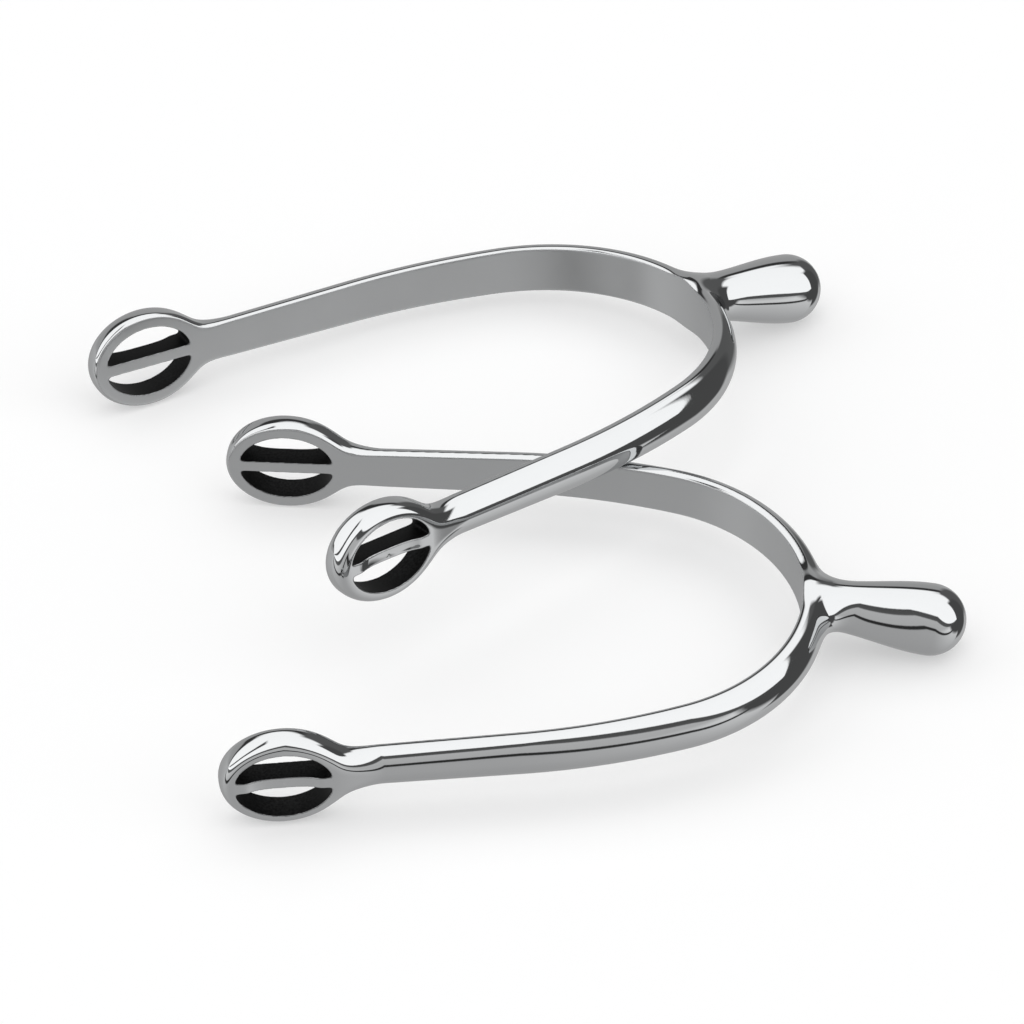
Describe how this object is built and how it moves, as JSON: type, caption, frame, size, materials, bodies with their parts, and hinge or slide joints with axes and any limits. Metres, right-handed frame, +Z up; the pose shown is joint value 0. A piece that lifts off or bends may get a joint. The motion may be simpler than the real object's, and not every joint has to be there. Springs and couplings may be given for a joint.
{
  "type": "pair of riding spurs",
  "caption": "Pair of round-end riding spurs of polished steel: U-shaped heel bands with oval strap eyes and short drooping necks, one lying across the other.",
  "frame": {"origin": "middle of the pair's box, on the surface that the spurs lie on", "axes": "+Z up from the surface; +X the way the lower spur's neck points, which is rearwards when worn"},
  "size_m": [0.1448, 0.1382, 0.0291],
  "materials": {
    "polished_steel": "stainless steel, mirror-polished outside, with a satin inner face and dull slot walls"
  },
  "bodies": {
    "lower_spur": {"lower_spur_heel_band": "polished_steel", "lower_spur_neck": "polished_steel", "lower_spur_left_eye_rim": "polished_steel", "lower_spur_left_strap_bar": "polished_steel", "lower_spur_right_eye_rim": "polished_steel", "lower_spur_right_strap_bar": "polished_steel"},
    "upper_spur": {"upper_spur_heel_band": "polished_steel", "upper_spur_neck": "polished_steel", "upper_spur_left_eye_rim": "polished_steel", "upper_spur_left_strap_bar": "polished_steel", "upper_spur_right_eye_rim": "polished_steel", "upper_spur_right_strap_bar": "polished_steel"}
  },
  "joints": [
    {"name": "upper_spur_lift", "type": "slide", "parent": "lower_spur", "child": "upper_spur", "axis": [0, 0, 1], "range_m": [0, 0.06]}
  ]
}
